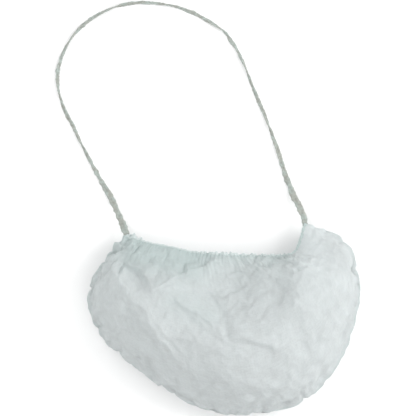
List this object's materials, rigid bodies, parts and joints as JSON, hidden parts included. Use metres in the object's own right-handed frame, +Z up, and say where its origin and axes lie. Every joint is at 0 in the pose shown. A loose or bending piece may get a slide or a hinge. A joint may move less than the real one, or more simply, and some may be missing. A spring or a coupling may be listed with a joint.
{
  "type": "beard cover",
  "caption": "Gathered nonwoven pouch that covers a beard, with a ruffled elastic hem round its mouth and a long elastic loop that goes over the head.",
  "frame": {"origin": "on the table under the middle of the pouch's box", "axes": "+Z up from the table, +Y from the pouch towards the head loop, +X to the right seen from above with the loop away"},
  "size_m": [0.2068, 0.2827, 0.0605],
  "materials": {
    "cloth": "thin pale translucent spunbond nonwoven, matt",
    "hem": "gathered nonwoven over elastic, matt",
    "loop": "crinkled covered elastic, matt"
  },
  "bodies": {
    "root": {"pouch": "cloth", "front_hem": "hem", "side_hem": "hem", "back_hem": "hem", "head_loop": "loop"}
  },
  "joints": []
}
